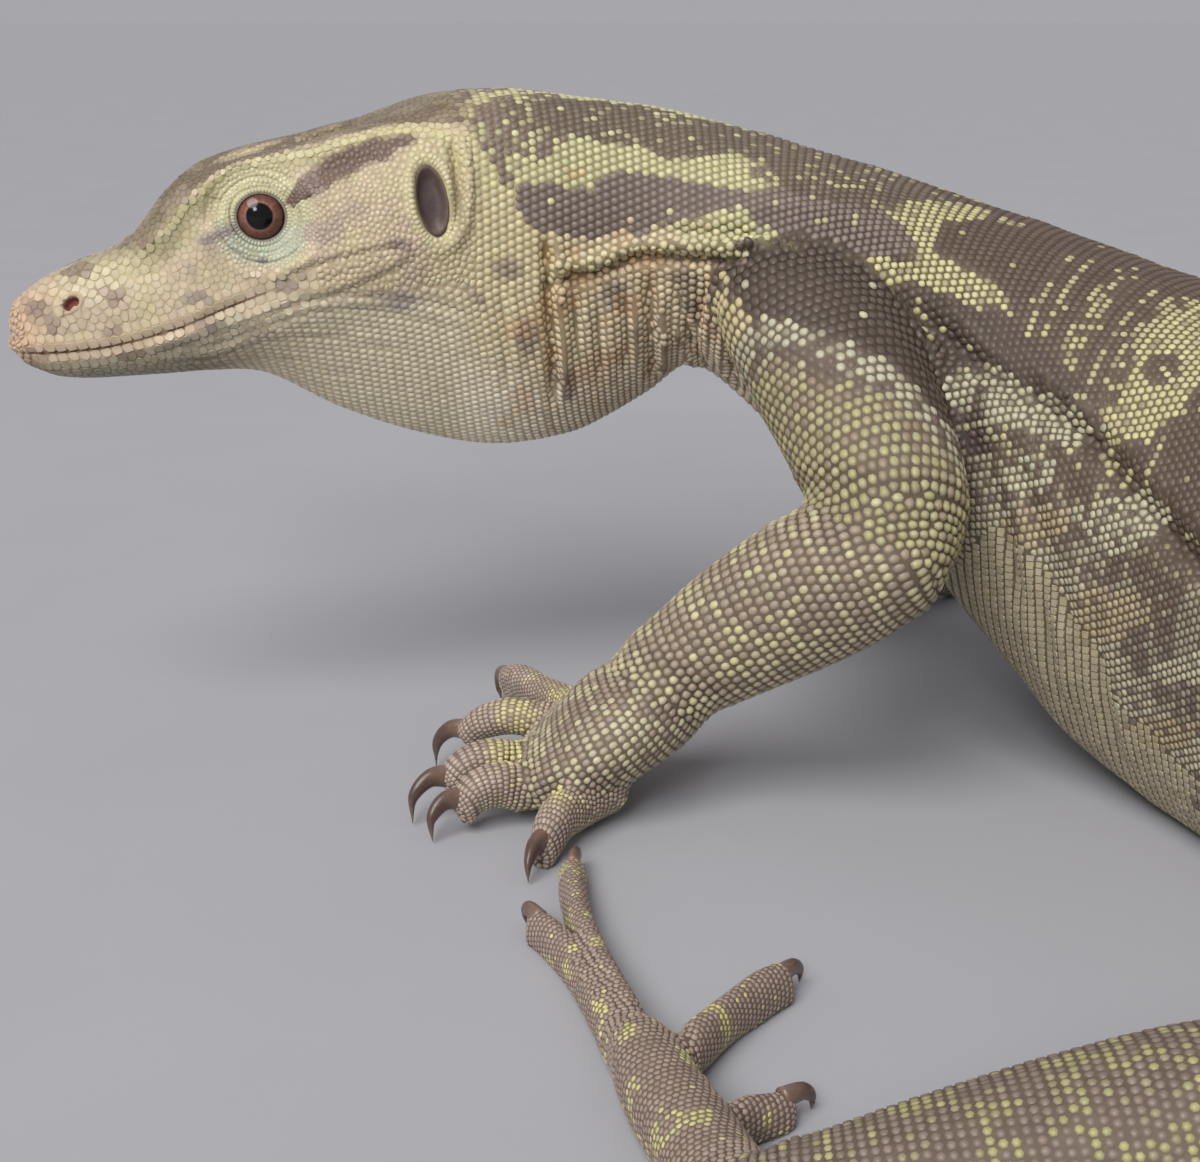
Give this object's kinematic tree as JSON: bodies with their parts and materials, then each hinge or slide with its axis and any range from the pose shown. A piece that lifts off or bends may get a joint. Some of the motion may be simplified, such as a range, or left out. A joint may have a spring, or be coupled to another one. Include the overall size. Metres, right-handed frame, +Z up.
{
  "type": "water monitor lizard model",
  "caption": "Life-size still model of a pale brown and yellow water monitor lizard, head and forequarters raised on its forelegs, belly, hind legs and long tail on the floor.",
  "frame": {"origin": "middle of the bounding box at floor level", "axes": "+Z up; +X along the length of the tail as it lies, away from the head; +Y from the hind legs towards the chest"},
  "size_m": [0.9942, 0.6288, 0.1491],
  "materials": {
    "head_skin": "cream-yellow scaled hide, fine flat scales, satin",
    "body_skin": "grey-brown scaled hide with pale yellow markings, beaded scales, satin",
    "foot_skin": "mauve-brown scaled hide with yellow spots, very small scales, satin",
    "eye": "wet gloss, copper-red iris with a round black pupil",
    "eardrum": "thin grey-purple membrane, satin",
    "claw": "brown horn, slightly glossy"
  },
  "bodies": {
    "root": {"belly": "body_skin", "chest": "body_skin", "ear_l": "eardrum", "ear_r": "eardrum", "eye_l": "eye", "eye_r": "eye", "finger_claw_l_1": "claw", "finger_claw_l_2": "claw", "finger_claw_l_3": "claw", "finger_claw_l_4": "claw", "finger_claw_l_5": "claw", "finger_claw_r_1": "claw", "finger_claw_r_2": "claw", "finger_claw_r_3": "claw", "finger_claw_r_4": "claw", "finger_claw_r_5": "claw", "foot_l": "foot_skin", "foot_r": "foot_skin", "forearm_l": "body_skin", "forearm_r": "body_skin", "hand_l": "foot_skin", "hand_r": "foot_skin", "head": "head_skin", "hips": "body_skin", "lower_jaw": "head_skin", "neck": "body_skin", "shin_l": "body_skin", "shin_r": "body_skin", "tail_1": "body_skin", "tail_2": "body_skin", "tail_3": "body_skin", "tail_4": "body_skin", "thigh_l": "body_skin", "thigh_r": "body_skin", "toe_claw_l_1": "claw", "toe_claw_l_2": "claw", "toe_claw_l_3": "claw", "toe_claw_l_4": "claw", "toe_claw_l_5": "claw", "toe_claw_r_1": "claw", "toe_claw_r_2": "claw", "toe_claw_r_3": "claw", "toe_claw_r_4": "claw", "toe_claw_r_5": "claw", "upper_arm_l": "body_skin", "upper_arm_r": "body_skin"}
  },
  "joints": []
}
